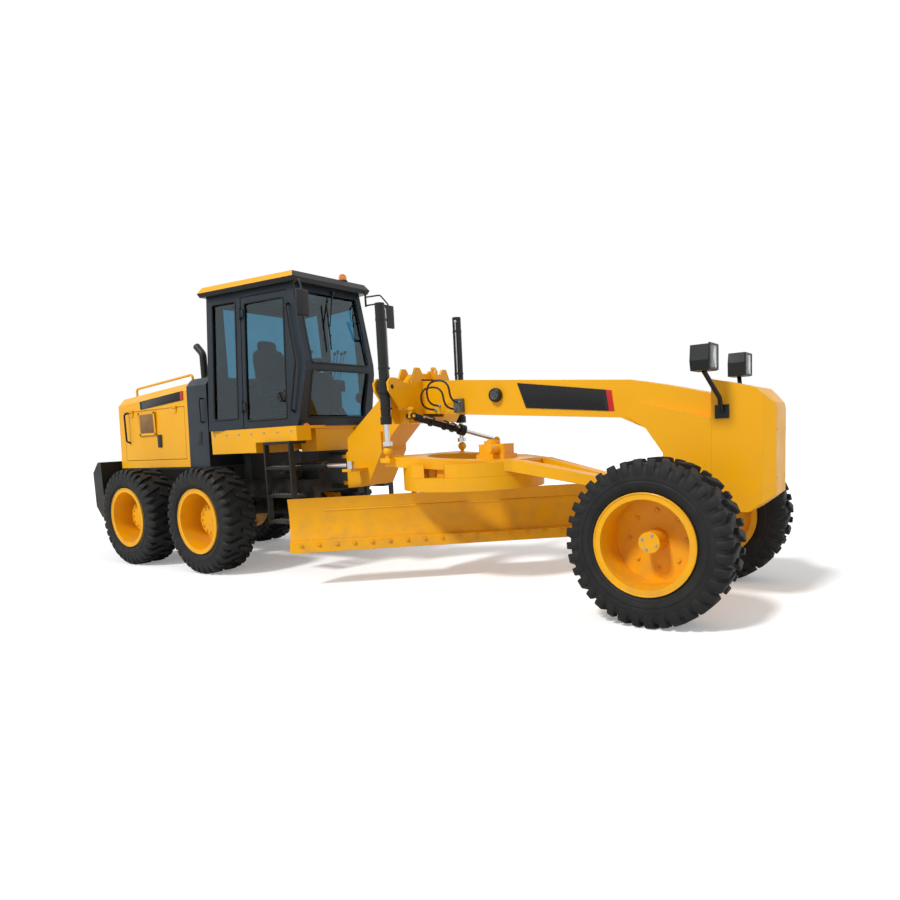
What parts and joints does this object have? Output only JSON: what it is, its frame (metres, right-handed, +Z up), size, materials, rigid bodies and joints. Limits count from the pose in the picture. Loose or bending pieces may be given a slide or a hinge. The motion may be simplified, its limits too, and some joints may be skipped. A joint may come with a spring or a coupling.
{
  "type": "motor grader",
  "caption": "Motor grader with tandem drive, hinged frames, glazed cab, and a turning, tilting and side-shifting blade under an arched front frame.",
  "frame": {"origin": "On the ground, under the middle of the machine's box.", "axes": "+X forward, +Y to the left side, +Z up."},
  "size_m": [8.47, 2.4952, 3.3144],
  "materials": {
    "tyre": "worn",
    "yellow": "weathered semi-gloss",
    "slate": "weathered semi-gloss",
    "black": "satin",
    "steel": "worn",
    "rod": "polished",
    "glass": "tinted",
    "fabric": "matt",
    "plastic": "matt",
    "engine": "matt"
  },
  "bodies": {
    "rear": {"cab_frame": "slate", "cab_glass": "glass", "cab_platform": "yellow", "cab_roof": "yellow", "controls": "plastic", "engine_block": "engine", "engine_hood": "yellow", "exhaust": "steel", "rear_frame": "yellow", "rear_plate": "black", "roof_fittings": "plastic", "seat": "fabric", "steps": "black", "tandem_drive": "black", "tank_housing": "slate"},
    "wheel_front_left": {"tyre_front_left": "tyre", "rim_front_left": "yellow"},
    "wheel_front_right": {"tyre_front_right": "tyre", "rim_front_right": "yellow"},
    "wheel_middle_left": {"tyre_middle_left": "tyre", "rim_middle_left": "yellow"},
    "wheel_middle_right": {"tyre_middle_right": "tyre", "rim_middle_right": "yellow"},
    "wheel_rear_left": {"tyre_rear_left": "tyre", "rim_rear_left": "yellow"},
    "wheel_rear_right": {"tyre_rear_right": "tyre", "rim_rear_right": "yellow"},
    "front": {"front_axle": "yellow", "gooseneck": "yellow", "headlights": "black", "nose": "yellow", "saddle": "yellow"},
    "knuckle_left": {"knuckle_left": "yellow"},
    "knuckle_right": {"knuckle_right": "yellow"},
    "tie_rod": {"tie_rod": "yellow"},
    "swing_block": {"draw_ball": "yellow"},
    "drawbar": {"drawbar": "yellow", "drawbar_clevis": "yellow"},
    "circle": {"circle": "steel"},
    "blade_carrier": {"blade_carrier": "yellow"},
    "blade": {"blade_rails": "yellow", "cutting_edge": "yellow", "moldboard": "yellow"},
    "lift_barrel_left": {"lift_barrel_left": "yellow"},
    "lift_rod_left": {"lift_rod_left": "rod"},
    "artic_barrel_left": {"artic_barrel_left": "yellow"},
    "artic_rod_left": {"artic_rod_left": "rod"},
    "cab_door_left": {"cab_door_left": "slate", "door_glass_left": "glass"},
    "hood_door_left": {"hood_door_left": "yellow"},
    "lift_barrel_right": {"lift_barrel_right": "yellow"},
    "lift_rod_right": {"lift_rod_right": "rod"},
    "artic_barrel_right": {"artic_barrel_right": "yellow"},
    "artic_rod_right": {"artic_rod_right": "rod"},
    "cab_door_right": {"cab_door_right": "slate", "door_glass_right": "glass"},
    "hood_door_right": {"hood_door_right": "yellow"},
    "shift_yoke": {"shift_yoke": "yellow"},
    "shift_barrel": {"shift_barrel": "yellow"},
    "shift_rod": {"shift_rod": "rod"}
  },
  "joints": [
    {"name": "articulation", "type": "hinge", "parent": "rear", "child": "front", "pos_m": [-0.2, 0, 1.1], "axis": [0, 0, 1], "range_deg": [-25, 25]},
    {"name": "steer_left", "type": "hinge", "parent": "front", "child": "knuckle_left", "pos_m": [3.555, 0.6, 0.6], "axis": [0, 0, -1], "range_deg": [-40, 40]},
    {"name": "steer_right", "type": "hinge", "parent": "front", "child": "knuckle_right", "pos_m": [3.555, -0.6, 0.6], "axis": [0, 0, -1], "range_deg": [-40, 40]},
    {"name": "tie_rod_turn", "type": "hinge", "parent": "knuckle_left", "child": "tie_rod", "pos_m": [3.315, 0.6, 0.521], "axis": [0, 0, -1], "range_deg": [-40, 40]},
    {"name": "spin_front_left", "type": "hinge", "parent": "knuckle_left", "child": "wheel_front_left", "pos_m": [3.555, 0.855, 0.6], "axis": [0, 1, 0], "continuous": true},
    {"name": "spin_front_right", "type": "hinge", "parent": "knuckle_right", "child": "wheel_front_right", "pos_m": [3.555, -0.855, 0.6], "axis": [0, 1, 0], "continuous": true},
    {"name": "spin_middle_left", "type": "hinge", "parent": "rear", "child": "wheel_middle_left", "pos_m": [-1.545, 0.955, 0.6], "axis": [0, 1, 0], "continuous": true},
    {"name": "spin_middle_right", "type": "hinge", "parent": "rear", "child": "wheel_middle_right", "pos_m": [-1.545, -0.955, 0.6], "axis": [0, 1, 0], "continuous": true},
    {"name": "spin_rear_left", "type": "hinge", "parent": "rear", "child": "wheel_rear_left", "pos_m": [-3.025, 0.955, 0.6], "axis": [0, 1, 0], "continuous": true},
    {"name": "spin_rear_right", "type": "hinge", "parent": "rear", "child": "wheel_rear_right", "pos_m": [-3.025, -0.955, 0.6], "axis": [0, 1, 0], "continuous": true},
    {"name": "drawbar_swing", "type": "hinge", "parent": "front", "child": "swing_block", "pos_m": [3.33, 0, 0.88], "axis": [0, 0, -1], "range_deg": [-6.5, 6.5]},
    {"name": "drawbar_lift", "type": "hinge", "parent": "swing_block", "child": "drawbar", "pos_m": [3.33, 0, 0.88], "axis": [0, 1, 0], "range_deg": [-12, 3.5]},
    {"name": "circle_turn", "type": "hinge", "parent": "drawbar", "child": "circle", "pos_m": [1.455, 0, 0.915], "axis": [0, 0, 1], "range_deg": [0, 98]},
    {"name": "blade_tip", "type": "hinge", "parent": "circle", "child": "blade_carrier", "pos_m": [1.29427, 0.1849, 0.56], "axis": [0.7547, 0.6561, 0], "range_deg": [-5, 40]},
    {"name": "blade_shift", "type": "slide", "parent": "blade_carrier", "child": "blade", "axis": [0.7547, 0.6561, 0], "range_m": [-0.48, 0.48]},
    {"name": "lift_tilt_left", "type": "hinge", "parent": "front", "child": "lift_barrel_left", "pos_m": [0.895, 0.62, 1.905], "axis": [1, 0, 0], "range_deg": [-27, 27]},
    {"name": "lift_ram_left", "type": "slide", "parent": "lift_barrel_left", "child": "lift_rod_left", "axis": [0, 0, 1], "range_m": [-0.52, 0.155]},
    {"name": "lift_tilt_right", "type": "hinge", "parent": "front", "child": "lift_barrel_right", "pos_m": [0.895, -0.62, 1.905], "axis": [1, 0, 0], "range_deg": [-27, 27]},
    {"name": "lift_ram_right", "type": "slide", "parent": "lift_barrel_right", "child": "lift_rod_right", "axis": [0, 0, 1], "range_m": [-0.52, 0.155]},
    {"name": "shift_yaw", "type": "hinge", "parent": "front", "child": "shift_yoke", "pos_m": [1.026, -0.4, 1.627], "axis": [0, 0, 1], "range_deg": [-6, 6]},
    {"name": "shift_pitch", "type": "hinge", "parent": "shift_yoke", "child": "shift_barrel", "pos_m": [1.026, -0.4, 1.627], "axis": [0.9138, -0.4061, 0], "range_deg": [-24, 8]},
    {"name": "shift_ram", "type": "slide", "parent": "shift_barrel", "child": "shift_rod", "axis": [0.3916, 0.8811, -0.2653], "range_m": [-0.25, 0.25]},
    {"name": "artic_yaw_left", "type": "hinge", "parent": "rear", "child": "artic_barrel_left", "pos_m": [-0.7, 0.52, 1.165], "axis": [0, 0, 1], "range_deg": [-15, 15]},
    {"name": "artic_ram_left", "type": "slide", "parent": "artic_barrel_left", "child": "artic_rod_left", "axis": [0.9923, -0.124, 0], "range_m": [-0.21, 0.21]},
    {"name": "artic_yaw_right", "type": "hinge", "parent": "rear", "child": "artic_barrel_right", "pos_m": [-0.7, -0.52, 1.165], "axis": [0, 0, 1], "range_deg": [-15, 15]},
    {"name": "artic_ram_right", "type": "slide", "parent": "artic_barrel_right", "child": "artic_rod_right", "axis": [0.9923, 0.124, 0], "range_m": [-0.21, 0.21]},
    {"name": "door_left", "type": "hinge", "parent": "rear", "child": "cab_door_left", "pos_m": [-1.142, 0.722, 1.7], "axis": [0, -0.0623, 0.9981], "range_deg": [0, 95]},
    {"name": "hood_left", "type": "hinge", "parent": "rear", "child": "hood_door_left", "pos_m": [0, 0.68, 1.932], "axis": [1, 0, 0], "range_deg": [0, 75]},
    {"name": "door_right", "type": "hinge", "parent": "rear", "child": "cab_door_right", "pos_m": [-1.142, -0.722, 1.7], "axis": [0, -0.0623, -0.9981], "range_deg": [0, 95]},
    {"name": "hood_right", "type": "hinge", "parent": "rear", "child": "hood_door_right", "pos_m": [0, -0.68, 1.932], "axis": [-1, 0, 0], "range_deg": [0, 75]}
  ],
  "couplings": [
    {"joint": "steer_right", "follows": "steer_left", "ratio": 1},
    {"joint": "tie_rod_turn", "follows": "steer_left", "ratio": -1},
    {"joint": "lift_tilt_left", "follows": "drawbar_swing", "ratio": 3.75},
    {"joint": "lift_ram_left", "follows": "drawbar_lift", "m_per_rad": 2.435},
    {"joint": "lift_tilt_right", "follows": "drawbar_swing", "ratio": 3.75},
    {"joint": "lift_ram_right", "follows": "drawbar_lift", "m_per_rad": 2.435},
    {"joint": "shift_yaw", "follows": "drawbar_swing", "ratio": 0.32124},
    {"joint": "shift_pitch", "follows": "drawbar_lift", "ratio": 1.8474},
    {"joint": "shift_ram", "follows": "drawbar_swing", "m_per_rad": 1.8733},
    {"joint": "artic_yaw_left", "follows": "articulation", "ratio": 0.36783},
    {"joint": "artic_ram_left", "follows": "articulation", "m_per_rad": -0.45397},
    {"joint": "artic_yaw_right", "follows": "articulation", "ratio": 0.36783},
    {"joint": "artic_ram_right", "follows": "articulation", "m_per_rad": 0.45397}
  ]
}
